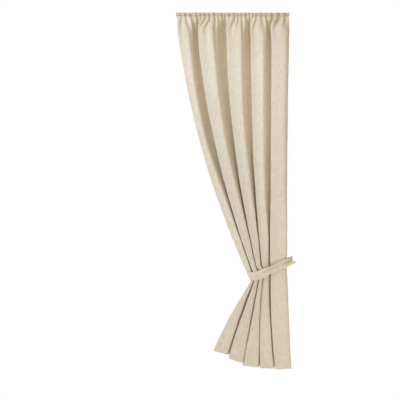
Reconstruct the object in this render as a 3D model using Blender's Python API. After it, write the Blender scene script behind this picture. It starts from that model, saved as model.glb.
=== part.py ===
"""Jacquard curtain with a gathered heading, drawn aside by a tieback.

One width of crinkled jacquard hangs from a narrow gathering tape. Small gathers at the heading run
into five deep folds, a tieback of the same cloth draws the folds together at the right, and below
it they fan out again to the bottom hem.

Metres, +Z up. +X is to the right as seen from the room, and +Y points to the wall behind. The
origin is the middle of the heading's top edge.
"""
from collections import namedtuple

import bmesh
import bpy
import numpy as np
from mathutils.geometry import convex_hull_2d

# The cloth, as cut and hemmed
CLOTH_WIDTH = 1.40
CLOTH_THICKNESS = 0.0015
CRINKLE = 0.96              # share of the width left once the crinkles have taken theirs
GAP = 0.0003                # between two pieces that touch

# The heading: a straight band with the gathering tape on its back
HEADING = 0.024
GATHERS = 24
GATHER_STEPS = 4            # columns of faces across one gather
GATHER_FADE = 0.23          # the gathers have run into the folds this far below the heading
PINCH = 0.55                # the tape's stitches hold the gathers this much flatter
EASE = 0.85                 # and they are this much flatter below it, where the crinkles take cloth too
TAPE_INSET = 0.0015         # from the band's top and bottom
TAPE_THICKNESS = 0.0012
SEED = 7

# The tieback, which slants up to the right and runs level round the left side
BAND_WIDTH = 0.060
BAND_THICKNESS = 0.003
BAND_LEFT_Z = -1.806
BAND_SLOPE = 0.445
BAND_BEND_X = 0.158         # it starts to climb here
BAND_BEND = 0.016           # and eases into the slope over about this length
WAIST = 0.034               # half the height over which the band grips the panel
SPREAD = 0.028              # the grip is tightest along its lower edge: by the upper edge the left
SPREAD_TO_X = 0.200         # side has leant out this far, and less and less as far as this x
SHOULDER = 0.050            # the folds have spread this far above the band's middle
BAND_BACK_END = (0.414, 0.027)      # x and y of its ends, which lie on one hook behind the edge
BAND_FRONT_END = (0.434, 0.012)
BAND_STEP = 0.012
BAND_ROWS = 5               # across its width, with a lengthwise crease along the middle one
BAND_PUFF = 0.007           # its halves stand this far off the crease at the front end
BAND_SLACK = 0.19           # x where they start to stand off
BAND_WAISTED = 0.17         # its front is drawn this much narrower at one place
BAND_WAISTED_X = 0.262
TAIL = 0.060                # the front end is shaped over this length
TAIL_CUT = (-0.024, -0.030, -0.040, -0.022, 0.0)    # how far each row of it stops short, top to bottom

# A fold is described by its front left edge, from which the cloth runs across the front and then
# turns back at the right, behind the next fold's edge.
#   head_x, top_x, tie_x, hem_x   that edge under the heading, just above the tieback, in it, at the hem
#   bow, fan                      how far its line sags to the left half way down, above and below it
#   tie_depth                     how deep the fold is in the tieback
#   hem_z                         height of the hem at that edge
#   wide_head ... wide_tie        how much wider its front is than its back, from the top down
#   lean                          how far it leans over to the left
Fold = namedtuple("Fold", "head_x top_x tie_x hem_x bow fan tie_depth hem_z wide_head wide_mid wide_low wide_tie lean")
FOLDS = [
    Fold(-0.387, 0.086, 0.126, -0.130, 0.0735, 0.0145, 0.086, -2.312, 0.10, -0.05, 0.14, 0.17, 0.40),
    Fold(-0.262, 0.131, 0.147, -0.027, 0.063, 0.0090, 0.122, -2.354, 0.12, 0.08, 0.15, 0.18, 0.30),
    Fold(-0.046, 0.163, 0.182, 0.064, 0.048, -0.0035, 0.136, -2.405, 0.09, 0.10, 0.15, 0.18, 0.26),
    Fold(0.125, 0.200, 0.209, 0.192, 0.025, 0.0150, 0.138, -2.432, 0.15, 0.12, 0.09, 0.18, 0.24),
    Fold(0.251, 0.245, 0.250, 0.288, -0.009, 0.0095, 0.100, -2.438, 0.10, 0.10, 0.12, 0.20, 0.20),
]
RIGHT_EDGE = Fold(0.391, 0.375, 0.376, 0.403, 0.007, -0.0050, 0.0, -2.437, 0.0, 0.0, 0.0, 0.0, 0.0)
FIRST_TURN = LAST_TURN = 0.20   # the free edges lie this far short of the backs of their folds
LOOSEN = 0.55               # depth that a fold may gain for each metre away from the tieback
SAMPLES = 160               # points worked out along each fold before the columns are placed

# How the folds' sections change down the panel. stage runs from 0 under the heading to 1 at the
# tieback and 2 at the hem.
STAGES = (0.0, 0.50, 0.72, 0.90, 1.0, 1.20, 1.65, 2.0)
WIDE_BELOW = 0.17           # part way down to the hem
WIDE_AT_HEM = 0.14
SQUARE = (0.06, 0.06, 0.06, 0.12, 0.07, 0.09, 0.12, 0.14)     # how steep the folds' sides stand
FLATTEN = 2.8               # power that flattens the folds' fronts and sharpens their backs

# Rows of faces: distance down from the top edge, and share of the way from the tieback to the hem
ROWS_ABOVE = (0.0, 0.012, 0.024, 0.038, 0.056, 0.080, 0.112, 0.155, 0.210, 0.290, 0.390, 0.520,
              0.680, 0.860, 1.040, 1.210, 1.360, 1.490, 1.600, 1.680, 1.730)
ROWS_BELOW = (0.08, 0.20, 0.36, 0.56, 0.78, 1.0)
TAPED_ROWS = 3
HEM_DRIFT = 0.4             # the hem's height follows the place seen from the front more than the cloth

CREAM = (0.78, 0.69, 0.56, 1.0)
TAPE_WHITE = (0.86, 0.84, 0.79, 1.0)


def clear_scene():
    for old in list(bpy.data.objects):
        bpy.data.objects.remove(old, do_unlink=True)


def fabric(name, colour, roughness):
    """A plain dull cloth."""
    material = bpy.data.materials.new(name)
    material.use_nodes = True
    shader = material.node_tree.nodes["Principled BSDF"]
    shader.inputs["Base Color"].default_value = colour
    shader.inputs["Roughness"].default_value = roughness
    shader.inputs["Metallic"].default_value = 0.0
    return material


def smooth_curve(places, values, at):
    """Reads a smooth curve through values at places, which runs on straight past its ends."""
    places, values, at = (np.asarray(numbers, dtype=float) for numbers in (places, values, at))
    slopes = np.gradient(values, places)
    left = np.clip(np.searchsorted(places, at) - 1, 0, len(places) - 2)
    span = places[left + 1] - places[left]
    along = (at - places[left]) / span
    f = np.clip(along, 0.0, 1.0)
    curve = (values[left] * (1 + 2 * f) * (1 - f) ** 2 + values[left + 1] * f * f * (3 - 2 * f)
             + span * f * (1 - f) * (slopes[left] * (1 - f) - slopes[left + 1] * f))
    return curve + (along - f) * span * np.where(along > 1, slopes[left + 1], slopes[left])


def arc_lengths(x, y):
    return np.concatenate([[0.0], np.cumsum(np.hypot(np.diff(x), np.diff(y)))])


# Gathers: an uneven wave across the heading

def gather_wave():
    """Peaks of the gathers: cloth position, height (front and back by turns, and none at the free
    edges) and how far down each lasts, with the columns of the panel, which lie on the peaks and
    evenly between them."""
    chance = np.random.RandomState(SEED)
    half_widths = chance.uniform(0.72, 1.28, 2 * GATHERS)
    peaks = np.concatenate([[0.0], np.cumsum(half_widths)])
    peaks *= CLOTH_WIDTH / peaks[-1]
    heights = chance.uniform(0.78, 1.22, len(peaks)) * np.where(np.arange(len(peaks)) % 2, 1, -1)
    heights[[0, -1]] = 0.0
    lasting = chance.uniform(0.45, 1.15, len(peaks))
    steps = GATHER_STEPS // 2
    columns = np.interp(np.arange(steps * (len(peaks) - 1) + 1) / steps, np.arange(len(peaks)), peaks)
    return peaks, heights, lasting, columns


def share_in_folds(down):
    """Share of the cloth's width that lies along the folds' line; small gathers hold the rest."""
    at_heading = (RIGHT_EDGE.head_x - FOLDS[0].head_x) / CLOTH_WIDTH
    below_heading = np.clip((down - HEADING) / GATHER_FADE, 0.0, 1.0)
    return at_heading + (CRINKLE - at_heading) * below_heading ** 2 * (3 - 2 * below_heading)


def gather_offsets(down, peaks, heights, lasting, columns):
    """How far each column stands off the folds' line: enough to take up the cloth that the folds
    leave over, or somewhat less where they are held flat."""
    faded = np.clip((down - HEADING) / (GATHER_FADE * lasting), 0.0, 1.0)
    swing = heights * (1 - faded)
    nearest = np.clip(np.searchsorted(peaks, columns, side="right") - 1, 0, len(peaks) - 2)
    span = peaks[nearest + 1] - peaks[nearest]
    turn = 0.5 - 0.5 * np.cos(np.pi * (columns - peaks[nearest]) / span)
    wave = swing[nearest] * (1 - turn) + swing[nearest + 1] * turn
    packed = share_in_folds(down)
    held = PINCH if down <= HEADING else EASE
    quarter = 0.25 * CLOTH_WIDTH / GATHERS * packed
    return held * wave * quarter * np.sqrt(max(CRINKLE / packed, 1.0) ** 2 - 1)


# Folds: the line of the cloth seen from above, at one height

def edges_above(share):
    """x of the five front edges and of the panel's right edge, from the heading to the tieback."""
    return np.array([fold.head_x + (fold.top_x - fold.head_x) * share - 4 * fold.bow * share * (1 - share)
                     for fold in [*FOLDS, RIGHT_EDGE]])


def edges_below(share):
    """The same from the tieback to the hem."""
    return np.array([fold.tie_x + (fold.hem_x - fold.tie_x) * share - 4 * fold.fan * share * (1 - share)
                     for fold in [*FOLDS, RIGHT_EDGE]])


def cloth_edges():
    """Where the cloth of each fold starts and ends: it is gathered evenly along the heading."""
    edges = edges_above(0.0)
    return CLOTH_WIDTH * (edges - edges[0]) / (edges[-1] - edges[0])


def fold_shape(turn, form, wide, square, lean):
    """Where a fold runs across, in widths of the fold, for a turn of -0.5 to 0.5 from its back
    left, through its front at 0, to its back right."""
    angle = 2 * np.pi * turn
    return turn + form * (wide * np.sin(angle) + square * np.sin(2 * angle) - 0.5 * lean * np.cos(angle))


def fold_rise(turn):
    """How far back a fold runs, in depths of the fold, for the same turn."""
    return (0.5 - 0.5 * np.cos(2 * np.pi * turn)) ** FLATTEN - 0.5


def fold_form(depth, width):
    """A flat stretch of cloth has form 0, and a fold as deep as it is wide nearly 1."""
    steep = (depth / width) ** 2
    return steep / (steep + 0.12)


def turn_range(number):
    first = -0.5 + (FIRST_TURN if number == 0 else 0.0)
    last = 0.5 - (LAST_TURN if number == len(FOLDS) - 1 else 0.0)
    return first, last


def fold_width(number, span, shape):
    """The width of a whole fold whose front edge lies span from the next one, with how far that
    edge lies from its middle."""
    first, last = turn_range(number)
    edge = fold_shape(np.linspace(first, 0.0, 40), *shape).min()
    if number < len(FOLDS) - 1:
        end = 1 + fold_shape(np.linspace(-0.5, 0.0, 40), *shape).min()
    else:
        end = fold_shape(np.linspace(0.0, last, 40), *shape).max()
    width = span / (end - edge)
    return width, edge * width


def fold_depth(number, span, cloth, section):
    """The depth at which a fold of this span takes up its cloth, found by halving."""
    turn = np.linspace(*turn_range(number), 60)
    shallow, deep = 0.0, cloth
    for _ in range(22):
        depth = 0.5 * (shallow + deep)
        shape = (fold_form(depth, span), *section)
        width, _ = fold_width(number, span, shape)
        if arc_lengths(width * fold_shape(turn, *shape), depth * fold_rise(turn))[-1] < cloth:
            shallow = depth
        else:
            deep = depth
    return depth


def fold_line(edges, packed, from_tie, stage):
    """The folds' line at one height: x, y and the cloth position of its points. packed is the share
    of the cloth in it, and from_tie the distance from the tieback, which holds the folds shallow."""
    cloth = cloth_edges()
    square = np.interp(stage, STAGES, SQUARE)
    middles, widths, depths, sections = [], [], [], []
    for number, fold in enumerate(FOLDS):
        span = edges[number + 1] - edges[number]
        wides = (fold.wide_head, fold.wide_mid, fold.wide_low, *3 * [fold.wide_tie], WIDE_BELOW,
                 WIDE_AT_HEM)
        wide = np.interp(stage, STAGES, wides)
        section = (wide, square, fold.lean)
        free = fold_depth(number, span, packed * (cloth[number + 1] - cloth[number]), section)
        held = fold.tie_depth + LOOSEN * from_tie
        depth = (free ** -6 + held ** -6) ** (-1 / 6) if free > 1e-4 else free
        shape = (fold_form(depth, span), *section)
        width, edge = fold_width(number, span, shape)
        middles.append(edges[number] - edge)
        widths.append(width)
        depths.append(depth)
        sections.append(shape)
    centres = np.arange(len(FOLDS)) + 0.5
    first = centres[0] + turn_range(0)[0]
    last = centres[-1] + turn_range(len(FOLDS) - 1)[1]
    turns = np.linspace(first, last, SAMPLES * len(FOLDS))
    ends = [middles[0] + (first - centres[0]) * widths[0],
            middles[-1] + (last - centres[-1]) * widths[-1]]
    across = smooth_curve([first, *centres, last], [ends[0], *middles, ends[1]], turns)
    width, depth, *shape = (np.interp(turns, centres, values) for values in (widths, depths, *zip(*sections)))
    x = across + width * (fold_shape(turns - 0.5, *shape) - (turns - 0.5))
    y = depth * fold_rise(turns - 0.5)
    along = arc_lengths(x, y)
    bounds = np.concatenate([[first], np.arange(1, len(FOLDS)), [last]])
    return x, y, np.interp(along, np.interp(bounds, turns, along), cloth)


def sides(x, y):
    """Unit normals of a line seen from above, to its back, longer at a corner so that two lines
    set off by the same amount stay parallel."""
    along = np.stack([np.diff(x), np.diff(y)])
    along /= np.hypot(*along)
    before = np.concatenate([along[:, :1], along], axis=1)
    after = np.concatenate([along, along[:, -1:]], axis=1)
    mean = before + after
    half_corner = np.maximum(0.25 * np.sum(mean * mean, axis=0), 0.3)
    mean /= 2 * half_corner
    return -mean[1], mean[0]


def waist_z(x):
    """Height of the tieback's middle."""
    past = x - BAND_BEND_X
    return BAND_LEFT_Z + BAND_SLOPE * 0.5 * (past + np.sqrt(past * past + BAND_BEND ** 2))


def leant_out(x, lift):
    """x of what lies in the tieback's grip, at a height above or below its middle."""
    share = np.maximum(SPREAD_TO_X - x, 0.0) / (SPREAD_TO_X - FOLDS[0].tie_x)
    return x - SPREAD * share ** 2 * (0.5 + 0.5 * lift / WAIST)


def row_line(edges, packed, from_tie, stage, columns):
    """x and y of the folds' line at the panel's columns."""
    x, y, cloth = fold_line(edges, packed, from_tie, stage)
    return np.interp(columns, cloth, x), np.interp(columns, cloth, y)


def tie_line(columns):
    return row_line(edges_below(0.0), CRINKLE, 0.0, 1.0, columns)


def panel_rows():
    """Middle line of the cloth in every row, as arrays of x, y and z at the panel's columns."""
    wave = gather_wave()
    columns = wave[-1]
    tie_x, tie_y = tie_line(columns)
    tie_z = waist_z(tie_x)
    rows = []
    for down in ROWS_ABOVE:
        share = max(down - HEADING, 0.0) / (ROWS_ABOVE[-1] - HEADING)
        from_tie = ROWS_ABOVE[-1] - down + SHOULDER - WAIST
        x, y = row_line(edges_above(share), share_in_folds(down), from_tie, share, columns)
        across, back = sides(x, y)
        offset = gather_offsets(down, *wave)
        z = -min(down, HEADING) + (tie_z + SHOULDER + HEADING) * share
        rows.append((x + across * offset, y + back * offset, z))
    for lift in (WAIST, 0.0, -WAIST):
        rows.append((leant_out(tie_x, lift), tie_y, tie_z + lift))
    hem_x, _ = row_line(edges_below(1.0), CRINKLE, 1.0, 2.0, columns)
    hem_z = smooth_curve(edges_below(1.0) + HEM_DRIFT * cloth_edges(),
                         [fold.hem_z for fold in [*FOLDS, RIGHT_EDGE]], hem_x + HEM_DRIFT * columns)
    for share in ROWS_BELOW:
        length = (BAND_LEFT_Z - RIGHT_EDGE.hem_z) * share
        x, y = row_line(edges_below(share), CRINKLE, length, 1 + share, columns)
        rows.append((x, y, (tie_z - WAIST) * (1 - share) + hem_z * share))
    return rows


# Solids

def sheet_solid(name, front, back, material):
    """A closed sheet between two grids of points, indexed by row, column and coordinate."""
    rows, columns = front.shape[:2]
    mesh = bmesh.new()
    grid = {}
    for side, points in (("front", front), ("back", back)):
        for row in range(rows):
            for column in range(columns):
                grid[side, row, column] = mesh.verts.new(points[row, column])
    for row in range(rows - 1):
        for column in range(columns - 1):
            for side, order in (("front", 1), ("back", -1)):
                corners = [grid[side, row, column], grid[side, row + 1, column],
                           grid[side, row + 1, column + 1], grid[side, row, column + 1]]
                mesh.faces.new([corners[0], corners[1], corners[2]][::order])
                mesh.faces.new([corners[0], corners[2], corners[3]][::order])
    rim = ([(0, column) for column in range(columns)]
           + [(row, columns - 1) for row in range(1, rows)]
           + [(rows - 1, column) for column in range(columns - 2, -1, -1)]
           + [(row, 0) for row in range(rows - 2, 0, -1)])
    for here, there in zip(rim, rim[1:] + rim[:1]):
        corners = [grid["front", *here], grid["front", *there], grid["back", *there], grid["back", *here]]
        mesh.faces.new([corners[0], corners[1], corners[2]])
        mesh.faces.new([corners[0], corners[2], corners[3]])
    data = bpy.data.meshes.new(name)
    mesh.to_mesh(data)
    mesh.free()
    data.materials.append(material)
    piece = bpy.data.objects.new(name, data)
    bpy.context.scene.collection.objects.link(piece)
    return piece


def set_off(rows, distance):
    """The rows' lines moved back by a distance, as a grid of points."""
    grid = []
    for x, y, z in rows:
        across, back = sides(x, y)
        grid.append(np.stack([x + across * distance, y + back * distance, z], axis=-1))
    return np.array(grid)


def make_panel(rows, material):
    half = 0.5 * CLOTH_THICKNESS
    return sheet_solid("curtain_panel", set_off(rows, -half), set_off(rows, half), material)


def make_tape(rows, material):
    """The tape lies on the back of the cloth and follows its gathers."""
    near = 0.5 * CLOTH_THICKNESS + GAP
    held = [(x, y, np.clip(z, TAPE_INSET - HEADING, -TAPE_INSET)) for x, y, z in rows[:TAPED_ROWS]]
    return sheet_solid("heading_tape", set_off(held, near), set_off(held, near + TAPE_THICKNESS),
                       material)


# The tieback

def band_path():
    """The band's middle line seen from above, as x and y: it is drawn tight round the panel, from
    its back end round the left side to its front end."""
    half = 0.5 * CLOTH_THICKNESS
    x, y = tie_line(gather_wave()[-1])
    section = np.concatenate([set_off([(x, y, 0 * x)], side)[0, :, :2] for side in (-half, half)])
    points = np.concatenate([section, [BAND_BACK_END, BAND_FRONT_END]])
    ring = convex_hull_2d([tuple(point) for point in points])
    start = ring.index(len(points) - 2)
    corners = points[ring[start:] + ring[:start]]
    lengths = arc_lengths(*corners.T)
    stops = [np.linspace(a, b, max(int(np.ceil((b - a) / BAND_STEP)), 1), endpoint=False)
             for a, b in zip(lengths, lengths[1:])]
    stops = np.concatenate([*stops, lengths[-1:]])
    x, y = (np.interp(stops, lengths, values) for values in corners.T)
    across, back = sides(x, y)
    outside = GAP + 0.5 * BAND_THICKNESS
    return x - across * outside, y - back * outside


def band_grid(x, y, distance):
    """Points of one face of the band, a distance outside its middle line."""
    along = arc_lengths(x, y)
    end = along[-1]
    left = along[np.argmin(x)]
    across, back = sides(x, y)
    climb = np.gradient(waist_z(x), along)
    grid = []
    for row in range(BAND_ROWS):
        level = 1 - 2 * row / (BAND_ROWS - 1)
        tail = np.clip((along - end + TAIL) / TAIL, 0.0, 1.0)
        at = along + tail * TAIL_CUT[row]
        px, py, nx, ny, slope = (np.interp(at, along, values) for values in (x, y, across, back, climb))
        in_front = at > left
        slack = np.clip((px - BAND_SLACK) / (BAND_FRONT_END[0] - BAND_SLACK), 0.0, 1.0) * in_front
        puff = BAND_PUFF * slack * np.sin(np.pi * min(abs(level), 0.8))
        waisted = BAND_WAISTED * np.exp(-((px - BAND_WAISTED_X) / 0.03) ** 2) * in_front
        height = 0.5 * BAND_WIDTH * np.sqrt(1 + slope ** 2) * (1 - waisted)
        out = distance + puff
        z = waist_z(px) + level * height
        grid.append(np.stack([leant_out(px - nx * out, level * height), py - ny * out, z], axis=-1))
    return np.array(grid)


def make_tieback(material):
    x, y = band_path()
    half = 0.5 * BAND_THICKNESS
    return sheet_solid("tieback", band_grid(x, y, half), band_grid(x, y, -half), material)


clear_scene()
panel_lines = panel_rows()
jacquard = fabric("cream_jacquard", CREAM, 0.85)
make_panel(panel_lines, jacquard)
make_tape(panel_lines, fabric("white_tape", TAPE_WHITE, 0.9))
make_tieback(jacquard)
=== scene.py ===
"""The jacquard curtain's looks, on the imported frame: the panel, its gathering tape and its tieback.

Metres, +Z up. +X is to the right as seen from the room, and +Y points to the wall behind. The
origin is the middle of the heading's top edge.
"""
import math
from collections import namedtuple

import bpy
import numpy as np
from mathutils.geometry import convex_hull_2d
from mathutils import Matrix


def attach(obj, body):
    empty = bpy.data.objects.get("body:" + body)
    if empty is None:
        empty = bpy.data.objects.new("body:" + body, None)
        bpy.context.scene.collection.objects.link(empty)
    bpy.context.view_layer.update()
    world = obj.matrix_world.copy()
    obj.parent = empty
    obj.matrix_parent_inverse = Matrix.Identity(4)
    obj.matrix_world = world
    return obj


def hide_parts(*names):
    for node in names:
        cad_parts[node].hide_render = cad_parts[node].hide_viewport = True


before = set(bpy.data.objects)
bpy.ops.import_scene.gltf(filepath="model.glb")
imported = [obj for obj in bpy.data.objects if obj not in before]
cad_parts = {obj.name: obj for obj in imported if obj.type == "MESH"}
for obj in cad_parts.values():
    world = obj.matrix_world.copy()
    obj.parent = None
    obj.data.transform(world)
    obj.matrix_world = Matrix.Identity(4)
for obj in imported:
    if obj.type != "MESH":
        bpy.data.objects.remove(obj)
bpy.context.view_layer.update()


# The studio: a level camera that stands back in front of the curtain, a pale floor that runs out
# into a white surround, and soft light from the front left, the same wherever the camera stands.

CAMERA_DISTANCE = 8.0
VIEW_WIDTH = 2.744          # of the upright plane through the heading that the view takes in
VIEW_MIDDLE = (-0.223, -1.285)      # x and z at the view's centre
FLOOR_Z = -2.80             # the curtain hangs well clear of the floor
FLOOR_RADIUS = 12.0
FLOOR_SIDES = 96
FLOOR_PLAIN = 0.15          # the floor is plain this far from its middle
FLOOR_WHITE = 0.80          # and has turned white at this distance
SURROUND_RADIUS = 60.0
SURROUND_SIDES = 48
SURROUND_LEVELS = 25
WHITE = (1.0, 1.0, 1.0, 1.0)
ROOM_COLOUR = (1.0, 0.775, 0.46, 1.0)       # warm light from all round, which fills the folds
ROOM_STRENGTH = 0.30
Light = namedtuple("Light", "name place aim size power colour spread")
LIGHTS = [
    Light("key_light", (-2.5, -2.8, 1.9), (0.0, 0.0, 0.10), 1.2, 38.0, (0.77, 0.865, 1.0), 100),
    Light("front_light", (0.6, -5.5, -0.3), (0.05, 0.0, -1.1), 2.4, 13.0, (1.0, 0.95, 0.88), 180),
    Light("low_light", (1.5, -2.6, -2.35), (0.1, 0.0, -2.25), 0.8, 0.52, (1.0, 0.85, 0.58), 50),
    Light("back_light", (-1.5, 4.5, 0.6), (0.05, 0.0, -1.1), 2.4, 95.0, (0.95, 0.97, 1.0), 180),
]

scene = bpy.context.scene
scene.view_settings.view_transform = "Standard"


def show(name, data):
    """Puts a mesh, a light or a camera into the scene."""
    made = bpy.data.objects.new(name, data)
    scene.collection.objects.link(made)
    return made


camera_data = bpy.data.cameras.new("camera")
camera_data.lens = camera_data.sensor_width * CAMERA_DISTANCE / VIEW_WIDTH
camera = show("camera", camera_data)
camera.location = (VIEW_MIDDLE[0], -CAMERA_DISTANCE, VIEW_MIDDLE[1])
camera.rotation_euler = (math.pi / 2, 0, 0)
scene.camera = camera


class Wire:
    """An output in a finish's node tree. A sum written on it adds its Math nodes."""

    def __init__(self, finish, socket):
        self.finish = finish
        self.socket = socket

    def math(self, operation, first, second=0.0):
        return self.finish.node("ShaderNodeMath", {0: first, 1: second}, operation=operation)

    def __add__(self, other):
        return self.math("ADD", self, other)

    def __radd__(self, other):
        return self.math("ADD", other, self)

    def __sub__(self, other):
        return self.math("SUBTRACT", self, other)

    def __rsub__(self, other):
        return self.math("SUBTRACT", other, self)

    def __mul__(self, other):
        return self.math("MULTIPLY", self, other)

    def __rmul__(self, other):
        return self.math("MULTIPLY", other, self)

    def __abs__(self):
        return self.math("ABSOLUTE", self)

    def __mod__(self, other):
        return self.math("FLOORED_MODULO", self, other)

    def ramp(self, start, end):
        """0 before start and 1 past end, with a soft step between them."""
        return self.finish.node("ShaderNodeMapRange", {"Value": self, "From Min": start, "From Max": end},
                                interpolation_type="SMOOTHSTEP")


class Finish:
    """A material whose nodes are written as expressions."""

    def __init__(self, name):
        self.material = bpy.data.materials.new(name)
        self.material.use_nodes = True
        self.tree = self.material.node_tree
        self.shader = self.tree.nodes["Principled BSDF"]

    def node(self, kind, sockets, out=0, **settings):
        """Adds a node: its settings first, then the values or links of its sockets."""
        made = self.tree.nodes.new(kind)
        for key, value in settings.items():
            setattr(made, key, value)
        self.feed(made, sockets)
        return Wire(self, made.outputs[out])

    def feed(self, made, sockets):
        """Sets or links the sockets of a node."""
        for key, value in sockets.items():
            if isinstance(value, Wire):
                self.tree.links.new(value.socket, made.inputs[key])
            else:
                made.inputs[key].default_value = value

    def mix(self, share, first, second):
        """A colour between two."""
        return self.node("ShaderNodeMix", {0: share, 6: first, 7: second}, out=2, data_type="RGBA")


def pale_stage():
    """The floor is plain near the curtain and turns into the white of the surround further out."""
    finish = Finish("pale_floor")
    finish.feed(finish.shader, {"Base Color": (0.9, 0.9, 0.9, 1.0), "Roughness": 0.9})
    white = finish.node("ShaderNodeEmission", {"Color": WHITE, "Strength": 1.0})
    place = finish.node("ShaderNodeTexCoord", {}, out=3)
    away = finish.node("ShaderNodeVectorMath", {0: place}, out=1, operation="LENGTH")
    lit = Wire(finish, finish.shader.outputs[0])
    fading = finish.node("ShaderNodeMixShader", {0: away.ramp(FLOOR_PLAIN, FLOOR_WHITE), 1: lit, 2: white})
    finish.feed(finish.tree.nodes["Material Output"], {"Surface": fading})
    ring = [(FLOOR_RADIUS * math.cos(a), FLOOR_RADIUS * math.sin(a), 0.0)
            for a in np.linspace(0, 2 * math.pi, FLOOR_SIDES, endpoint=False)]
    mesh = bpy.data.meshes.new("floor")
    mesh.from_pydata(ring, [], [range(len(ring))])
    mesh.materials.append(finish.material)
    floor = show("floor", mesh)
    floor.location = (0.0, 0.0, FLOOR_Z)


def white_surround():
    """A white dome, which is seen but lights nothing."""
    finish = Finish("white_surround")
    white = finish.node("ShaderNodeEmission", {"Color": WHITE, "Strength": 1.0})
    finish.feed(finish.tree.nodes["Material Output"], {"Surface": white})
    turns = np.linspace(0, 2 * math.pi, SURROUND_SIDES, endpoint=False)
    levels = np.linspace(-0.5 * math.pi, 0.5 * math.pi, SURROUND_LEVELS)[1:-1]
    points = [(math.cos(level) * math.cos(a), math.cos(level) * math.sin(a), math.sin(level))
              for level in levels for a in turns]
    points = [tuple(SURROUND_RADIUS * value for value in point) for point in points]
    count = len(turns)
    faces = [(row * count + i, row * count + (i + 1) % count, (row + 1) * count + (i + 1) % count,
              (row + 1) * count + i) for row in range(len(levels) - 1) for i in range(count)]
    faces += [tuple(range(count)), tuple(range(len(points) - count, len(points)))]
    mesh = bpy.data.meshes.new("surround")
    mesh.from_pydata(points, [], faces)
    mesh.materials.append(finish.material)
    surround = show("surround", mesh)
    surround.visible_diffuse = False
    surround.visible_glossy = False
    surround.visible_transmission = False
    surround.visible_shadow = False


def soft_light(light):
    """A round soft lamp, turned to its aim. One of narrow spread, in degrees, lights less round it."""
    lamp = bpy.data.lights.new(light.name, "AREA")
    lamp.shape = "DISK"
    lamp.size = light.size
    lamp.energy = light.power
    lamp.color = light.colour
    lamp.spread = math.radians(light.spread)
    made = show(light.name, lamp)
    made.location = light.place
    towards = [end - start for start, end in zip(light.place, light.aim)]
    flat = math.hypot(towards[0], towards[1])
    made.rotation_euler = (math.pi / 2 + math.atan2(towards[2], flat), 0,
                           math.atan2(towards[1], towards[0]) - math.pi / 2)


pale_stage()
white_surround()
for each_light in LIGHTS:
    soft_light(each_light)

world = bpy.data.worlds.new("soft_room")
scene.world = world
world.use_nodes = True
room = world.node_tree.nodes["Background"].inputs
room["Color"].default_value = ROOM_COLOUR
room["Strength"].default_value = ROOM_STRENGTH


# The panel is one width of crinkled cream jacquard, 1.40 m by 2.45 m. Its sides and its bottom are
# turned in and stitched, its top is gathered to 0.78 m on a tape, and it hangs in five deep folds
# that the tieback draws together at the right.

CLOTH_WIDTH = 1.40
CLOTH_LENGTH = 2.45
CLOTH_THICKNESS = 0.0009
CRINKLE = 0.96              # share of the width left once the crinkles have taken theirs
HEADING = 0.024             # the straight taped band at the top
FOLDS_FORM = 0.115          # the five folds have taken up the cloth this far below the heading

# Under the heading the cloth is drawn into small gathers, which are uneven and fade on the way down.
GATHER_LINES = (-0.380, -0.356, -0.324, -0.289, -0.252, -0.224, -0.187, -0.158, -0.116, -0.093,
                -0.062, -0.042, -0.007, 0.029, 0.052, 0.072, 0.108, 0.128, 0.150, 0.170, 0.206,
                0.229, 0.269, 0.321, 0.369)     # x of the gathers' valleys under the heading
GATHER_SEED = 7
GATHER_HEIGHTS = (0.8, 1.2)         # least and most, in shares of an even wave
GATHER_LASTING = (0.5, 1.15)        # and how far down they last, in shares of the fade
GATHER_FADE = 0.24
GATHER_FADE_POWER = 1.3
PINCH = 0.39                # height of the gathers in the band, where the tape's stitches hold them
EASE = 1.00                 # and just below it, in shares of that of a free wave
EASE_WITHIN = 0.016

# The band rolls forward in soft lumps between a lip along its top and the tape's lower stitches,
# which draw the cloth back. Each kind of lump has its spacing and its seed.
LIP_DEPTH = 0.0030
LIP_WIDTH = 0.0025
BAND_ROLL = 0.0032
ROLL_FROM, ROLL_TO, ROLL_STEP = 0.005, 0.015, 0.007
ROLL_LUMPS = (0.034, 3)
STITCH_DEPTH = 0.0034
STITCH_WIDTH = 0.0036
STITCH_LUMPS = (0.028, 4)
RIPPLE = 0.0009
RIPPLE_FADE = 0.03
RIPPLE_LUMPS = (0.013, 5)
TOP_WAVE = 0.0016           # the top edge rises and falls this much
TOP_WAVE_FADE = 0.010
TOP_LUMPS = (0.021, 6)
BAND_FLARE = 0.0045         # the band's ends stand out past the panel's sides
FLARE_STEP = 0.008
FLARE_FADE = 0.12

# The tieback's middle runs level round the left side, bends, and climbs to the right. The folds are
# held in its grip, and have spread a little way above it.
BAND_LEFT_Z = -1.806
BAND_SLOPE = 0.445
BAND_BEND_X = 0.158
BAND_BEND = 0.016
WAIST = 0.034               # half the height over which the tieback grips the panel
SPREAD = 0.028              # the left side leans out this far by the grip's upper edge
SPREAD_TO_X = 0.200
SHOULDER = 0.050            # the folds have spread this far above the tieback's middle
DOWN_TO_TIE = 1.73          # along the cloth, from its top edge to that shoulder

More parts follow.
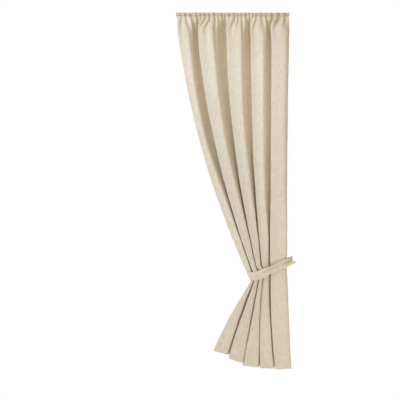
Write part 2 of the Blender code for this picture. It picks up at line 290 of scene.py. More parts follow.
# Each fold is described by its front left edge: its x under the heading, just above the tieback, in
# it and at the hem; how far its line sags to the left above and below it; the fold's depth in the
# tieback; the hem's height there; how much wider its front is than its back, from the top down; and
# how far it leans to the left.
Fold = namedtuple("Fold", "head_x top_x tie_x hem_x bow fan tie_depth hem_z "
                          "wide_head wide_mid wide_low wide_tie lean")
FOLDS = [
    Fold(-0.387, 0.086, 0.126, -0.130, 0.0735, 0.0145, 0.086, -2.312, 0.10, -0.05, 0.14, 0.165, 0.40),
    Fold(-0.262, 0.131, 0.147, -0.027, 0.063, 0.0090, 0.122, -2.350, 0.12, 0.08, 0.15, 0.185, 0.30),
    Fold(-0.046, 0.163, 0.182, 0.064, 0.048, -0.0035, 0.136, -2.405, 0.09, 0.10, 0.15, 0.168, 0.26),
    Fold(0.125, 0.200, 0.209, 0.192, 0.025, 0.0150, 0.138, -2.432, 0.15, 0.12, 0.09, 0.165, 0.24),
    Fold(0.251, 0.245, 0.250, 0.288, -0.009, 0.0095, 0.100, -2.438, 0.10, 0.10, 0.12, 0.20, 0.20),
]
RIGHT_EDGE = Fold(0.391, 0.375, 0.372, 0.403, 0.007, 0.0005, 0.0, -2.437, 0.0, 0.0, 0.0, 0.0, 0.0)
FIRST_TURN = LAST_TURN = 0.20       # the cloth's side edges lie this far short of their folds' backs
LOOSEN = 0.55               # depth that a fold may gain for each metre away from the tieback
HELD_POWER = 6              # how sharply a fold's depth passes from held to free
FLAT = 1e-4                 # a fold less deep than this is flat
FORM_STEEPNESS = 0.12       # share of steepness at which a fold has half its form
HEM_DRIFT = 0.4             # the hem's line is read this far along the cloth as well as along x

# The folds' section changes on the way down. A stage is 0 at the heading, 1 in the tieback and 2 at
# the hem. Fronts and backs are squared and fronts flattened, and the inner folds lean further to
# the left where they are open.
STAGES = (0.0, 0.50, 0.72, 0.90, 1.0, 1.20, 1.65, 2.0)
WIDE_BELOW = 0.229          # how much wider the fronts are part way down to the hem
WIDE_AT_HEM = 0.240         # and at it
SQUARE = (0.06, 0.06, 0.06, 0.12, 0.07, 0.09, 0.12, 0.14)
FLATTEN = (2.8, 2.8, 2.8, 2.4, 2.0, 1.8, 1.6, 1.6)
LEANING = (1.25, 1.6, 1.4, 1.1, 1.0, 1.0, 1.0, 1.0)

# The right shoulder of each front is creased: it stands proud, with a gentle slope on its left and a
# sharp turn on its right, both in turns of the fold.
RIDGE_TURN = 0.17
RIDGE_LEFT = 0.090
RIDGE_RIGHT = 0.028
RIDGE_HEIGHTS = (0.0040, 0.0080, 0.0080, 0.0062, 0.0012)
RIDGE_STAGES = (0.01, 0.07, 0.80, 0.97, 1.03, 1.3, 2.0)
RIDGE_SHARES = (0.0, 1.0, 1.0, 0.2, 0.1, 0.30, 0.3)

# Soft slanting crinkles run through all of the cloth: width, length, slant in degrees and height of
# each size of them. They are damped near the heading and the tieback.
CRINKLES = ((0.030, 0.100, 62, 0.0008), (0.055, 0.160, 70, 0.0010))
CRINKLE_SEED = 11
LATTICE = 90                # points each way of the random heights that they are read from
LATTICE_START = 30
DAMPED_BELOW_HEADING = 0.1
DAMPED_ROUND_TIE = 0.03

# A drag crease: the fold it lies on, its two ends in x and z, its half width and its height
DRAG_CREASES = (
    (4, (0.296, -1.735), (0.335, -1.600), 0.010, 0.0030),
    (4, (0.330, -1.715), (0.352, -1.560), 0.008, 0.0020),
    (4, (0.272, -1.700), (0.290, -1.480), 0.012, -0.0022),
    (3, (0.222, -1.745), (0.226, -1.640), 0.008, 0.0018),
    (2, (0.184, -1.770), (0.158, -1.660), 0.007, 0.0018),
)
FRONT_TURN = 0.34           # a front reaches this far from its middle, in turns of the fold
FRONT_STEP = 0.1

HEM = 0.032
SIDE_HEM = 0.020
HEM_EXTRA = 0.0008          # what a hem's turns add to the cloth's thickness
HEM_STEP = 0.004
STITCH_IN = 0.002           # a hem's stitches run this far inside its fold
STITCH_PROUD = 0.0006
HEM_STITCH_WIDTH = 0.0035
SIDE_STITCH_WIDTH = 0.004

# The mesh: places across the flat cloth, rows down from its top edge to the tieback's shoulder, rows
# in its grip, and rows from there to the hem in shares of the way, closer together at the stitches.
COLUMNS = np.linspace(0.0, CLOTH_WIDTH, 321)
ROWS_ABOVE = np.concatenate([np.linspace(0, 0.0275, 12), np.linspace(0.032, 0.28, 27),
                             np.linspace(0.298, DOWN_TO_TIE, 74)])
SHOULDER_ROWS = 2
GRIP_ROWS = 5
STITCH_SHARE = 0.95
STITCH_ROWS = STITCH_SHARE + np.array([-0.008, -0.004, 0.0, 0.004, 0.008])
ROWS_BELOW = np.concatenate([np.linspace(0, 0.93, 25)[1:], STITCH_ROWS, (0.97, 0.985, 1.0)])
GRIP_STEP = 0.02            # between the rows of the grip, along the cloth
DOWN_TO_GRIP_END = 1.89     # along the cloth, from its top edge
LENGTH_BELOW = CLOTH_LENGTH - DOWN_TO_GRIP_END
LINE_SAMPLES = 240          # along each fold's line
EDGE_SAMPLES = 40
LENGTH_SAMPLES = 60
HALVINGS = 22

# The weave: figures four times as long as they are wide, on a ribbed and slightly cloudy ground
GROUND_COLOURS = ((0.78, 0.69, 0.555, 1.0), (0.82, 0.729, 0.59, 1.0))
FIGURE_COLOUR = (0.875, 0.785, 0.66, 1.0)
STITCH_COLOUR = (0.68, 0.60, 0.48, 1.0)
# painted shade: a darker colour mixed into the panel near its heading
PAINTED_SHADE_COLOUR = (0.62, 0.53, 0.38, 1.0)
FIGURE_SLANT = -28          # degrees
FIGURE_STRETCH = 0.25
FIGURE_SCALE = 105.0
CLOUD_SCALE = 9.0
THREAD_SCALE = 240.0
FIGURE_EDGES = (0.38, 0.62)         # noise levels between which a figure comes out of the ground
CLOUD_EDGES = (0.3, 0.7)
FIGURE_RELIEF, THREAD_RELIEF, CLOUD_RELIEF = 0.7, 0.12, 0.6
WEAVE_DEPTH = 0.0012
GROUND_ROUGHNESS = 0.86
FIGURE_GLOSS = 0.16
STITCH_PITCH = 0.0036
STITCH_ENDS = (0.0016, 0.0011)      # a stitch comes in between these distances from its middle
NEEDLE_LINE = (0.0004, 0.0012)      # and the line that it lies in fades out between these
LINE_SUNK, STITCH_RAISED = 0.5, 0.3
SHADE_FROM = 0.02            # painted shade: the cloth's colour is darkened from here down, fading slowly over the upper folds, and quickly over the finest gathers, where they shade each other
FOLD_SHADE_SHARE, FOLD_SHADE_TO = 0.48, 0.50         # slowly over the upper folds
GATHER_SHADE_SHARE, GATHER_SHADE_TO = 0.36, 0.045    # and quickly over the finest gathers
ACROSS, DOWN, UP = 0, 1, 2  # the flat cloth's measures: from its left side, its top and its hem


def smooth_curve(places, values, at):
    """Reads a smooth curve through values at places, which runs on straight past its ends."""
    places, values, at = (np.asarray(numbers, dtype=float) for numbers in (places, values, at))
    slopes = np.gradient(values, places)
    left = np.clip(np.searchsorted(places, at) - 1, 0, len(places) - 2)
    span = places[left + 1] - places[left]
    along = (at - places[left]) / span
    f = np.clip(along, 0.0, 1.0)
    curve = (values[left] * (1 + 2 * f) * (1 - f) ** 2 + values[left + 1] * f * f * (3 - 2 * f)
             + span * f * (1 - f) * (slopes[left] * (1 - f) - slopes[left + 1] * f))
    return curve + (along - f) * span * np.where(along > 1, slopes[left + 1], slopes[left])


def soft_step(share):
    """From 0 to 1 with a soft start and end."""
    share = np.clip(share, 0.0, 1.0)
    return share * share * (3 - 2 * share)


def arc_lengths(x, y):
    """How far along a line each of its points lies."""
    return np.concatenate([[0.0], np.cumsum(np.hypot(np.diff(x), np.diff(y)))])


def edges_above(share):
    """x of the five front edges and of the panel's right edge, from the heading to the tieback."""
    return np.array([fold.head_x + (fold.top_x - fold.head_x) * share - 4 * fold.bow * share * (1 - share)
                     for fold in [*FOLDS, RIGHT_EDGE]])


def edges_below(share):
    """The same from the tieback to the hem."""
    return np.array([fold.tie_x + (fold.hem_x - fold.tie_x) * share - 4 * fold.fan * share * (1 - share)
                     for fold in [*FOLDS, RIGHT_EDGE]])


def cloth_edges():
    """Where the cloth of each fold starts and ends: it is gathered evenly along the heading."""
    edges = edges_above(0.0)
    return CLOTH_WIDTH * (edges - edges[0]) / (edges[-1] - edges[0])


def share_in_folds(down):
    """Share of the cloth's width that lies along the folds' line; small gathers hold the rest."""
    at_heading = (RIGHT_EDGE.head_x - FOLDS[0].head_x) / CLOTH_WIDTH
    return at_heading + (CRINKLE - at_heading) * soft_step((down - HEADING) / FOLDS_FORM)


def fold_shape(turn, form, wide, square, lean):
    """Where a fold runs across, in widths of the fold, for a turn of -0.5 to 0.5 from its back
    left, through its front at 0, to its back right."""
    angle = 2 * np.pi * turn
    return turn + form * (wide * np.sin(angle) + square * np.sin(2 * angle) - 0.5 * lean * np.cos(angle))


def fold_rise(turn, flatten):
    """How far back a fold runs, in depths of the fold, for the same turn. Its front is flat."""
    return (0.5 - 0.5 * np.cos(2 * np.pi * turn)) ** flatten - 0.5


def fold_form(depth, width):
    """A flat stretch of cloth has form 0, and a fold as deep as it is wide nearly 1."""
    steep = (depth / width) ** 2
    return steep / (steep + FORM_STEEPNESS)


def turn_range(number):
    """The turns between which a fold has cloth."""
    first = -0.5 + (FIRST_TURN if number == 0 else 0.0)
    last = 0.5 - (LAST_TURN if number == len(FOLDS) - 1 else 0.0)
    return first, last


def fold_width(number, span, shape):
    """The width of a whole fold whose front edge lies span from the next one, with how far that
    edge lies from its middle."""
    first, last = turn_range(number)
    edge = fold_shape(np.linspace(first, 0.0, EDGE_SAMPLES), *shape).min()
    if number < len(FOLDS) - 1:
        end = 1 + fold_shape(np.linspace(-0.5, 0.0, EDGE_SAMPLES), *shape).min()
    else:
        end = fold_shape(np.linspace(0.0, last, EDGE_SAMPLES), *shape).max()
    width = span / (end - edge)
    return width, edge * width


def fold_depth(number, span, cloth, section, flatten):
    """The depth at which a fold of this span takes up its cloth, found by halving."""
    turn = np.linspace(*turn_range(number), LENGTH_SAMPLES)
    shallow, deep = 0.0, cloth
    for _ in range(HALVINGS):
        depth = 0.5 * (shallow + deep)
        shape = (fold_form(depth, span), *section)
        width, _ = fold_width(number, span, shape)
        length = arc_lengths(width * fold_shape(turn, *shape), depth * fold_rise(turn, flatten))[-1]
        if length < cloth:
            shallow = depth
        else:
            deep = depth
    return depth


def fold_line(edges, packed, from_tie, stage, columns):
    """The folds' line at one height, as x, y and turn at the given places across the cloth. The
    turn grows by one from each fold to the next."""
    cloth = cloth_edges()
    square = np.interp(stage, STAGES, SQUARE)
    flatten = np.interp(stage, STAGES, FLATTEN)
    middles, widths, depths, sections = [], [], [], []
    for number, fold in enumerate(FOLDS):
        span = edges[number + 1] - edges[number]
        wides = (fold.wide_head, fold.wide_mid, fold.wide_low, *3 * [fold.wide_tie], WIDE_BELOW,
                 WIDE_AT_HEM)
        leaning = np.interp(stage, STAGES, LEANING) if number else 1.0
        section = (np.interp(stage, STAGES, wides), square, fold.lean * leaning)
        free = fold_depth(number, span, packed * (cloth[number + 1] - cloth[number]), section, flatten)
        held = fold.tie_depth + LOOSEN * from_tie
        depth = free
        if free > FLAT:
            depth = (free ** -HELD_POWER + held ** -HELD_POWER) ** (-1 / HELD_POWER)
        shape = (fold_form(depth, span), *section)
        width, edge = fold_width(number, span, shape)
        middles.append(edges[number] - edge)
        widths.append(width)
        depths.append(depth)
        sections.append(shape)
    centres = np.arange(len(FOLDS)) + 0.5
    first = centres[0] + turn_range(0)[0]
    last = centres[-1] + turn_range(len(FOLDS) - 1)[1]
    turns = np.linspace(first, last, LINE_SAMPLES * len(FOLDS))
    ends = [middles[0] + (first - centres[0]) * widths[0],
            middles[-1] + (last - centres[-1]) * widths[-1]]
    across = smooth_curve([first, *centres, last], [ends[0], *middles, ends[1]], turns)
    width, depth, *shape = (np.interp(turns, centres, values)
                            for values in (widths, depths, *zip(*sections)))
    x = across + width * (fold_shape(turns - 0.5, *shape) - (turns - 0.5))
    y = depth * fold_rise(turns - 0.5, flatten)
    along = arc_lengths(x, y)
    bounds = np.concatenate([[first], np.arange(1, len(FOLDS)), [last]])
    places = np.interp(along, np.interp(bounds, turns, along), cloth)
    return [np.interp(columns, places, values) for values in (x, y, turns)]


def waist_z(x):
    """Height of the tieback's middle."""
    past = x - BAND_BEND_X
    return BAND_LEFT_Z + BAND_SLOPE * 0.5 * (past + np.sqrt(past * past + BAND_BEND ** 2))


def leant_out(x, lift):
    """x of what lies in the tieback's grip, at a height above or below its middle."""
    share = np.maximum(SPREAD_TO_X - x, 0.0) / (SPREAD_TO_X - FOLDS[0].tie_x)
    return x - SPREAD * share ** 2 * (0.5 + 0.5 * lift / WAIST)


def blend(values, place):
    """Reads a list of values at any place in it, with soft steps from each to the next."""
    left = np.clip(np.floor(place).astype(int), 0, len(values) - 2)
    step = soft_step(place - left)
    return values[left] * (1 - step) + values[left + 1] * step


def gathers(down, across):
    """How far the cloth stands off the folds' line in its small gathers. They are uneven and fade at
    different heights."""
    head = edges_above(0.0)
    valleys = CLOTH_WIDTH * (np.array(GATHER_LINES) - head[0]) / (head[-1] - head[0])
    peaks = np.sort(np.concatenate([[0.0], valleys, 0.5 * (valleys[1:] + valleys[:-1]), [CLOTH_WIDTH]]))
    chance = np.random.RandomState(GATHER_SEED)
    heights = np.gradient(peaks) * chance.uniform(*GATHER_HEIGHTS, len(peaks))
    heights *= np.where(np.arange(len(peaks)) % 2, 1, -1)
    heights[[0, -1]] = 0.0
    lasting = chance.uniform(*GATHER_LASTING, len(peaks))
    faded = np.clip((down - HEADING) / (GATHER_FADE * lasting), 0.0, 1.0)
    lessened = heights * (1 - faded) ** GATHER_FADE_POWER
    wave = blend(lessened, np.interp(across, peaks, np.arange(len(peaks))))
    held = PINCH + (EASE - PINCH) * soft_step((down - HEADING) / EASE_WITHIN)
    at_heading = share_in_folds(0.0)
    # a free zigzag of this height takes up the cloth that the folds' line leaves over
    return 0.5 * held * wave * at_heading * np.sqrt((CRINKLE / at_heading) ** 2 - 1)


def lumps(across, spacing, seed):
    """Soft random lumps from -1 to 1."""
    values = np.random.RandomState(seed).uniform(-1, 1, int(CLOTH_WIDTH / spacing) + 2)
    return blend(values, across / spacing)


def band_form(down, across):
    """How far the heading band stands back or forward: it has a lip along its top, rolls forward in
    lumps, and is drawn in along the tape's lower stitches."""
    lip = -LIP_DEPTH * math.exp(-(down / LIP_WIDTH) ** 2)
    roll = soft_step((down - ROLL_FROM) / ROLL_STEP) * (1 - soft_step((down - ROLL_TO) / ROLL_STEP))
    roll = BAND_ROLL * roll * (1 + 0.8 * lumps(across, *ROLL_LUMPS))
    groove = STITCH_DEPTH * math.exp(-((down - HEADING) / STITCH_WIDTH) ** 2)
    groove = groove * (1 + 0.5 * lumps(across, *STITCH_LUMPS))
    ripple = RIPPLE * (1 - soft_step((down - HEADING) / RIPPLE_FADE)) * lumps(across, *RIPPLE_LUMPS)
    return lip - roll + groove + ripple


def sides(x, y):
    """Unit normals of a line seen from above, to its back."""
    across, back = np.gradient(x), np.gradient(y)
    length = np.hypot(across, back)
    return -back / length, across / length


def ridges(turn, stage):
    """How far the right shoulder of each fold's front stands proud."""
    total = 0.0
    for number, height in enumerate(RIDGE_HEIGHTS):
        past = turn - (number + 0.5 + RIDGE_TURN)
        width = np.where(past > 0, RIDGE_RIGHT, RIDGE_LEFT)
        total = total + height * np.exp(-(past / width) ** 2)
    return total * np.interp(stage, RIDGE_STAGES, RIDGE_SHARES)


def tie_section(columns):
    """The folds' line in the tieback, as x, y and the height of the tieback's middle."""
    x, y, _ = fold_line(edges_below(0.0), CRINKLE, 0.0, 1.0, columns)
    return x, y, waist_z(x)


def read_grid(grid, row, column):
    """Reads a grid of numbers or of points at places between its rows and columns."""
    above = np.floor(row).astype(int)
    before = np.minimum(np.floor(column).astype(int), grid.shape[1] - 2)
    own_axes = (..., *[None] * (grid.ndim - 2))
    past, beside = (row - above)[own_axes], (column - before)[own_axes]
    left = grid[above, before] * (1 - past) + grid[above + 1, before] * past
    right = grid[above, before + 1] * (1 - past) + grid[above + 1, before + 1] * past
    return left * (1 - beside) + right * beside


def softened(place):
    """A place whose way from each whole number to the next starts and ends softly."""
    whole = np.floor(place)
    return whole + soft_step(place - whole)


def crinkles(across, down):
    """Height of the cloth's soft slanting crinkles, from its place in the flat cloth."""
    chance = np.random.RandomState(CRINKLE_SEED)
    total = 0.0
    for width, length, slant, height in CRINKLES:
        lattice = chance.uniform(-1, 1, (LATTICE, LATTICE))
        slant = math.radians(slant)
        along = (across * math.cos(slant) - down * math.sin(slant)) / length + LATTICE_START
        beside = (across * math.sin(slant) + down * math.cos(slant)) / width % (LATTICE - 2)
        total = total + height * read_grid(lattice, softened(along), softened(beside))
    return total


def rows_at(downs, columns):
    """Points of the cloth's middle in rows so far down from its top edge, above the tieback, and
    the folds' turns there."""
    _, _, tie_z = tie_section(columns)
    middle = columns / CLOTH_WIDTH * 2 - 1
    rows, turns = [], []
    for down in downs:
        share = max(down - HEADING, 0.0) / (DOWN_TO_TIE - HEADING)
        from_tie = DOWN_TO_TIE - down + SHOULDER - WAIST
        x, y, turn = fold_line(edges_above(share), share_in_folds(down), from_tie, share, columns)
        across, back = sides(x, y)
        offset = gathers(down, columns) + band_form(down, columns) - ridges(turn, share)
        narrow = BAND_FLARE * soft_step((down - HEADING) / FLARE_STEP + 0.5)
        narrow = narrow * (1 - soft_step((down - HEADING) / FLARE_FADE))
        top = TOP_WAVE * lumps(columns, *TOP_LUMPS) * soft_step(1 - down / TOP_WAVE_FADE)
        z = -min(down, HEADING) + (tie_z + SHOULDER + HEADING) * share + top
        rows.append(np.stack([x + across * offset - middle * narrow, y + back * offset, z], axis=-1))
        turns.append(turn)
    return rows, turns


def panel_grid():
    """Points of the cloth's middle and the folds' turns, by row and column."""
    tie_x, tie_y, tie_z = tie_section(COLUMNS)
    rows, turns = rows_at(ROWS_ABOVE, COLUMNS)
    grip = [np.stack([leant_out(tie_x, lift), tie_y, tie_z + lift], axis=-1)
            for lift in np.linspace(WAIST, -WAIST, GRIP_ROWS)]
    last = rows[-1]
    for share in np.arange(1, SHOULDER_ROWS + 1) / (SHOULDER_ROWS + 1):
        row = last * (1 - share) + grip[0] * share
        row[:, :2] += (grip[0] - last)[:, :2] * (soft_step(share) - share)
        rows.append(row)
    rows += grip
    turns += [turns[-1]] * (SHOULDER_ROWS + GRIP_ROWS)
    hem_x, _, _ = fold_line(edges_below(1.0), CRINKLE, 1.0, 2.0, COLUMNS)
    hem_z = smooth_curve(edges_below(1.0) + HEM_DRIFT * cloth_edges(),
                         [fold.hem_z for fold in [*FOLDS, RIGHT_EDGE]], hem_x + HEM_DRIFT * COLUMNS)
    for share in ROWS_BELOW:
        length = (BAND_LEFT_Z - RIGHT_EDGE.hem_z) * share
        x, y, turn = fold_line(edges_below(share), CRINKLE, length, 1 + share, COLUMNS)
        across, back = sides(x, y)
        offset = -ridges(turn, 1 + share)
        x, y = x + across * offset, y + back * offset
        rows.append(np.stack([x, y, (tie_z - WAIST) * (1 - share) + hem_z * share], axis=-1))
        turns.append(turn)
    return np.array(rows), np.array(turns)


def lengths_down(grid):
    """How far down the cloth each point of a grid lies from its top edge."""
    steps = np.linalg.norm(np.diff(grid, axis=0), axis=2)
    return np.concatenate([np.zeros((1, grid.shape[1])), np.cumsum(steps, axis=0)])


def backward(grid):
    """Unit normals of a grid of points, to its back."""
    normal = np.cross(np.gradient(grid, axis=1), np.gradient(grid, axis=0))
    return normal / np.linalg.norm(normal, axis=2, keepdims=True)


def thin_sheet(name, grid, thickness, cloth, finish):
    """A closed thin sheet round a grid of points. Each point keeps its place in the flat cloth."""
    rows, columns = grid.shape[:2]
    offset = backward(grid) * (0.5 * np.asarray(thickness))[..., None]
    points = np.concatenate([(grid - offset).reshape(-1, 3), (grid + offset).reshape(-1, 3)])
    number = np.arange(rows * columns).reshape(rows, columns)
    corners = [number[:-1, :-1], number[1:, :-1], number[1:, 1:], number[:-1, 1:]]
    front = np.stack([corner.ravel() for corner in corners], axis=1)
    rim = np.concatenate([number[0, :-1], number[:-1, -1], number[-1, :0:-1], number[:0:-1, 0]])
    after = np.roll(rim, -1)
    edge = np.stack([rim, after, after + rows * columns, rim + rows * columns], axis=1)
    faces = np.concatenate([front, front[:, ::-1] + rows * columns, edge])
    mesh = bpy.data.meshes.new(name)
    mesh.from_pydata(points.tolist(), [], faces.tolist())
    mesh.attributes.new("cloth", "FLOAT_VECTOR", "POINT")
    mesh.attributes["cloth"].data.foreach_set("vector", np.concatenate([cloth, cloth]).ravel())
    mesh.shade_smooth()
    mesh.materials.append(finish.material)
    return show(name, mesh)


def jacquard_cloth(name, seams, shade_gathers=False):
    """Cream on cream: fine slanting figures, a little glossier than their ground. A seam is a row of
    stitches, at a distance along one measure of the flat cloth. The panel's cloth may also carry painted
    shade: its colour is darkened towards the heading, in the fine gathers and over the upper folds."""
    finish = Finish(name)
    cloth = finish.node("ShaderNodeAttribute", {}, out=1, attribute_name="cloth")
    slanted = finish.node("ShaderNodeMapping", {"Vector": cloth, "Scale": (1.0, FIGURE_STRETCH, 0.0),
                                                "Rotation": (0, 0, math.radians(FIGURE_SLANT))})
    figure = finish.node("ShaderNodeTexNoise", {"Vector": slanted, "Scale": FIGURE_SCALE, "Detail": 3.0,
                                                "Roughness": 0.6}).ramp(*FIGURE_EDGES)
    cloud = finish.node("ShaderNodeTexNoise", {"Vector": cloth, "Scale": CLOUD_SCALE, "Detail": 2.0})
    thread = finish.node("ShaderNodeTexWave", {"Vector": cloth, "Scale": THREAD_SCALE},
                         bands_direction="DIAGONAL")
    colour = finish.mix(figure, finish.mix(cloud.ramp(*CLOUD_EDGES), *GROUND_COLOURS), FIGURE_COLOUR)
    height = figure * FIGURE_RELIEF + thread * THREAD_RELIEF + cloud * CLOUD_RELIEF
    measures = finish.node("ShaderNodeSeparateXYZ", {0: cloth})
    measures = [Wire(finish, output) for output in measures.socket.node.outputs]
    for measure, at in seams:
        line = 1 - abs(measures[measure] - at).ramp(*NEEDLE_LINE)
        along = measures[DOWN if measure == ACROSS else ACROSS]
        dash = line * abs(along % STITCH_PITCH - 0.5 * STITCH_PITCH).ramp(*STITCH_ENDS)
        colour = finish.mix(dash, colour, STITCH_COLOUR)
        height = height - line * LINE_SUNK + dash * STITCH_RAISED
    # painted shade: the colour darkens towards the heading, in place of the shade between the gathers and
    # over the upper folds
    if shade_gathers:
        folds = FOLD_SHADE_SHARE * (1 - measures[DOWN].ramp(SHADE_FROM, FOLD_SHADE_TO))
        fine = GATHER_SHADE_SHARE * (1 - measures[DOWN].ramp(SHADE_FROM, GATHER_SHADE_TO))
        colour = finish.mix(folds + fine, colour, PAINTED_SHADE_COLOUR)
    bump = finish.node("ShaderNodeBump", {"Height": height, "Distance": WEAVE_DEPTH, "Strength": 0.7})
    finish.feed(finish.shader, {
        "Base Color": colour, "Roughness": GROUND_ROUGHNESS - FIGURE_GLOSS * figure, "Normal": bump,
        "Subsurface Weight": 0.20, "Subsurface Scale": 0.01, "Subsurface Radius": (1.0, 0.75, 0.5),
        "Sheen Weight": 0.15, "Sheen Roughness": 0.5, "Specular IOR Level": 0.25})
    return finish


def drag_creases(x, z, turns):
    """How far the creases that the tieback drags into the fronts stand proud."""
    total = 0.0
    for number, (x1, z1), (x2, z2), width, height in DRAG_CREASES:
        run, rise = x2 - x1, z2 - z1
        along = np.clip(((x - x1) * run + (z - z1) * rise) / (run ** 2 + rise ** 2), 0, 1)
        away = np.hypot(x - x1 - along * run, z - z1 - along * rise)
        in_front = soft_step((FRONT_TURN - np.abs(turns - number - 0.5)) / FRONT_STEP)
        across = np.exp(-(away / width) ** 2)
        total = total + height * across * np.sin(np.pi * (0.1 + 0.8 * along)) * in_front
    return total


def rows_down():
    """How far down the flat cloth each of the mesh's rows lies."""
    grip = DOWN_TO_TIE + GRIP_STEP * np.arange(1, SHOULDER_ROWS + GRIP_ROWS + 1)
    return np.concatenate([ROWS_ABOVE, grip, DOWN_TO_GRIP_END + LENGTH_BELOW * ROWS_BELOW])


def finished_panel():
    """The folded cloth with its crinkles and drag creases, and its hems a double turn thick. Gives
    the piece and the points of its back."""
    grid, turns = panel_grid()
    lengths = lengths_down(grid)
    down, across = np.meshgrid(rows_down(), COLUMNS, indexing="ij")
    x, z = grid[..., 0], grid[..., 2]
    free = soft_step((down - HEADING) / DAMPED_BELOW_HEADING)
    free = free * soft_step((np.abs(z - waist_z(x)) - WAIST) / DAMPED_ROUND_TIE)
    side = np.minimum(across, CLOTH_WIDTH - across)
    up = lengths[-1] - lengths
    in_hem = np.maximum(1 - soft_step((side - SIDE_HEM) / HEM_STEP), 1 - soft_step((up - HEM) / HEM_STEP))
    stitches = np.maximum(np.exp(-((up - HEM + STITCH_IN) / HEM_STITCH_WIDTH) ** 2),
                          np.exp(-((side - SIDE_HEM + STITCH_IN) / SIDE_STITCH_WIDTH) ** 2))
    offset = crinkles(across, down) * free + drag_creases(x, z, turns)
    offset = offset + HEM_EXTRA * 0.5 * in_hem + STITCH_PROUD * stitches * free
    grid = grid + backward(grid) * offset[..., None]
    thickness = CLOTH_THICKNESS + HEM_EXTRA * in_hem
    cloth = np.stack([across, lengths, up], axis=-1).reshape(-1, 3)
    seams = ((ACROSS, SIDE_HEM - STITCH_IN), (ACROSS, CLOTH_WIDTH - SIDE_HEM + STITCH_IN),
             (UP, HEM - STITCH_IN), (DOWN, HEADING - STITCH_IN))
    # the panel's colour carries painted shade towards its heading
    finish = jacquard_cloth("cream_jacquard", seams, shade_gathers=True)
    made = thin_sheet("jacquard_panel", grid, thickness, cloth, finish)
    return made, grid + backward(grid) * (0.5 * thickness)[..., None]


panel, panel_back = finished_panel()
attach(panel, "root")
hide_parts("curtain_panel")


# The heading tape is a plain woven gathering tape, about 18 mm wide, sewn along both edges to the
# back of the cloth. Two draw cords run in it, and between them a row of pockets for the hooks.

TAPE_THICKNESS = 0.0007
TAPE_TOP = 0.0050           # down from the edge, below the lip
TAPE_INSET = 0.0015         # up from the heading's lower edge
TAPE_SHORT = 0.003          # at each end
TAPE_GAP = 0.0005           # between it and the back of the cloth
TAPE_COLUMNS = 769
TAPE_ROWS = 15
CORD_DOWN = (0.0080, 0.0185)
CORD_WIDTH = 0.0016
CORD_HEIGHT = 0.0009
POCKET_PITCH = 0.028
POCKET_WIDTH = 0.017
POCKET_DOWN = 0.0132        # to its middle
POCKET_DROP = 0.0030        # half its height along the cloth
POCKET_HEIGHT = 0.0006
POCKET_SIDE_STEP = 0.002
POCKET_END_STEP = 0.0012
TAPE_COLOURS = ((0.70, 0.68, 0.61, 1.0), (0.79, 0.77, 0.71, 1.0))
RIB_SCALE = 190.0
PICK_SCALE = 150.0


def woven_tape():
    """Off-white ribs across the tape, with its picks between them."""
    finish = Finish("woven_tape")
    cloth = finish.node("ShaderNodeAttribute", {}, out=1, attribute_name="cloth")
    ribs = finish.node("ShaderNodeTexWave", {"Vector": cloth, "Scale": RIB_SCALE}, bands_direction="X")
    picks = finish.node("ShaderNodeTexWave", {"Vector": cloth, "Scale": PICK_SCALE}, bands_direction="Y")
    height = ribs * 0.6 + picks * 0.4
    bump = finish.node("ShaderNodeBump", {"Height": height, "Distance": 0.0005, "Strength": 0.8})
    colour = finish.mix(height, *TAPE_COLOURS)
    finish.feed(finish.shader, {"Base Color": colour, "Roughness": 0.85 - 0.1 * picks, "Normal": bump})
    return finish


def heading_tape():
    """The tape lies on the panel's back, and follows its gathers."""
    columns = np.linspace(TAPE_SHORT, CLOTH_WIDTH - TAPE_SHORT, TAPE_COLUMNS)
    downs = np.linspace(TAPE_TOP, HEADING - TAPE_INSET, TAPE_ROWS)
    down, across = np.meshgrid(downs, columns, indexing="ij")
    row = np.interp(down, ROWS_ABOVE, np.arange(len(ROWS_ABOVE)))
    column = np.interp(across, COLUMNS, np.arange(len(COLUMNS)))
    grid = read_grid(panel_back, row, column)
    normal = read_grid(backward(panel_back), row, column)
    cords = sum(CORD_HEIGHT * np.exp(-((down - cord) / CORD_WIDTH) ** 2) for cord in CORD_DOWN)
    from_middle = np.abs(across % POCKET_PITCH - 0.5 * POCKET_PITCH)
    pockets = 1 - soft_step((from_middle - 0.5 * POCKET_WIDTH) / POCKET_SIDE_STEP)
    pockets = pockets * (1 - soft_step((np.abs(down - POCKET_DOWN) - POCKET_DROP) / POCKET_END_STEP))
    thickness = TAPE_THICKNESS + cords + POCKET_HEIGHT * pockets
    grid = grid + normal * (TAPE_GAP + 0.5 * thickness)[..., None]
    cloth = np.stack([across, down, 0 * down], axis=-1).reshape(-1, 3)
    return thin_sheet("gathering_tape", grid, thickness, cloth, woven_tape())


tape = heading_tape()
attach(tape, "root")
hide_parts("heading_tape")


# The tieback is a band of the same cloth, 60 mm wide, doubled over a soft stiffener and stitched
# along its edges. It is drawn tight round the panel, creased along its front half, and its two ends
# meet at the right, the front one cut to a swallow tail.

BAND_WIDTH = 0.060
BAND_THICKNESS = 0.0024
BAND_MIDDLE = 0.0024        # how far its middle lies outside the cloth it holds
BAND_BACK_END = (0.414, 0.034)      # x and y of its two ends
BAND_FRONT_END = (0.434, 0.012)
BAND_STEP = 0.004
BAND_ROWS = 33
EDGE_CROWDING = 0.25        # its rows lie closer together near its edges
EDGE_ROUND = 0.10           # of its half width
EDGE_STITCHES = 0.003       # in from each edge

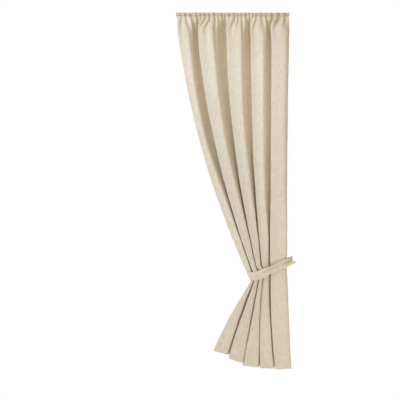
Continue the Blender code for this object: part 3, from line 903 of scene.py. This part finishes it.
# A level is -1 at the band's lower edge and 1 at its upper one. The crease runs along the front half,
# the band is drawn in where it crosses the panel's last fold, its upper half narrows to its end, and
# the front end is cut back by these lengths at these levels.
CREASE_DEPTH = 0.0120
CREASE_LEVEL = (0.20, -0.05)        # where it starts and ends
CREASE_FROM_X = 0.19
WAISTED = 0.17
WAISTED_X = 0.262
WAISTED_WIDTH = 0.03
NARROWED = 0.36
NARROWED_FROM_X = 0.33
NARROWED_STEP = 0.09
TAIL = 0.080
TAIL_LEVELS = (-1.0, -0.62, -0.28, -0.10, 0.30, 0.62, 1.0)
TAIL_CUT = (0.0, -0.010, -0.034, -0.052, -0.058, -0.056, -0.056)
ROUND_THE_SIDE = 0.02       # the front's shape has come in this far past the left side


def band_path():
    """The band's middle line seen from above, as x and y, from its back end round the left side to
    its front end."""
    half = 0.5 * CLOTH_THICKNESS
    x, y, _ = tie_section(COLUMNS)
    across, back = sides(x, y)
    section = np.concatenate([np.stack([x + across * side, y + back * side], axis=-1)
                              for side in (-half, half)])
    points = np.concatenate([section, [BAND_BACK_END, BAND_FRONT_END]])
    ring = convex_hull_2d([tuple(point) for point in points])
    start = ring.index(len(points) - 2)
    corners = points[ring[start:] + ring[:start]]
    along = arc_lengths(*corners.T)
    stops = np.linspace(0, along[-1], int(along[-1] / BAND_STEP))
    x, y = (np.interp(stops, along, values) for values in corners.T)
    across, back = sides(x, y)
    return x - across * BAND_MIDDLE, y - back * BAND_MIDDLE


def band_profile(level, x):
    """How far the band stands forward of its middle line, by its level from -1 to 1 and its x: its
    upper half slopes in to the crease, and below that the cloth comes out again in a ridge."""
    share = np.clip((x - CREASE_FROM_X) / (BAND_FRONT_END[0] - CREASE_FROM_X), 0.0, 1.0)
    crease = CREASE_LEVEL[0] + (CREASE_LEVEL[1] - CREASE_LEVEL[0]) * share
    above = np.clip((level - crease) / (1 - crease), 0.0, 1.0)
    below = np.clip((crease - level) / (1 + crease), 0.0, 1.0)
    upper = soft_step(above / 0.8) * (1 - 0.5 * above ** 4)
    lower = soft_step(below / 0.30) * (1 - 0.75 * soft_step((below - 0.25) / 0.75))
    strength = soft_step(share / 0.25)
    return CREASE_DEPTH * strength * np.where(level > crease, 0.75 * upper, lower)


def tieback_grid():
    """Points of the band's middle, by level and along it, with how far along each column lies."""
    x, y = band_path()
    along = arc_lengths(x, y)
    left = along[np.argmin(x)]
    across, back = sides(x, y)
    climb = np.gradient(waist_z(x), along)
    rows = []
    levels = (EDGE_CROWDING * np.cos(np.linspace(0, np.pi, BAND_ROWS))
              + (1 - EDGE_CROWDING) * np.linspace(1, -1, BAND_ROWS))
    for level in levels:
        tail = np.clip((along - along[-1] + TAIL) / TAIL, 0.0, 1.0)
        at = along + tail * np.interp(level, TAIL_LEVELS, TAIL_CUT)
        px, py, nx, ny, slope = (np.interp(at, along, values) for values in (x, y, across, back, climb))
        in_front = soft_step((at - left) / ROUND_THE_SIDE)
        waisted = WAISTED * np.exp(-((px - WAISTED_X) / WAISTED_WIDTH) ** 2) * in_front
        narrowed = NARROWED * soft_step((px - NARROWED_FROM_X) / NARROWED_STEP) * (level > 0)
        height = 0.5 * BAND_WIDTH * np.sqrt(1 + slope ** 2) * (1 - waisted - narrowed)
        out = band_profile(level, px) * in_front
        rows.append(np.stack([leant_out(px - nx * out, level * height), py - ny * out,
                              waist_z(px) + level * height], axis=-1))
    return np.array(rows), along


def stitched_tieback():
    """The band with rounded edges and a row of stitches along each, and its cut length."""
    grid, along = tieback_grid()
    level, along = np.meshgrid(np.linspace(1, -1, BAND_ROWS), along, indexing="ij")
    rounded = np.clip((np.abs(level) - 1 + EDGE_ROUND) / EDGE_ROUND, 0.0, 0.9)
    cloth = np.stack([along, 0.5 * BAND_WIDTH * (1 - level), 0 * level], axis=-1).reshape(-1, 3)
    seams = ((DOWN, EDGE_STITCHES), (DOWN, BAND_WIDTH - EDGE_STITCHES))
    finish = jacquard_cloth("cream_band", seams)
    made = thin_sheet("tieback_band", grid, BAND_THICKNESS * np.sqrt(1 - rounded ** 2), cloth, finish)
    return made, float(along[0, -1])


tieback, band_length = stitched_tieback()
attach(tieback, "root")
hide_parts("tieback")
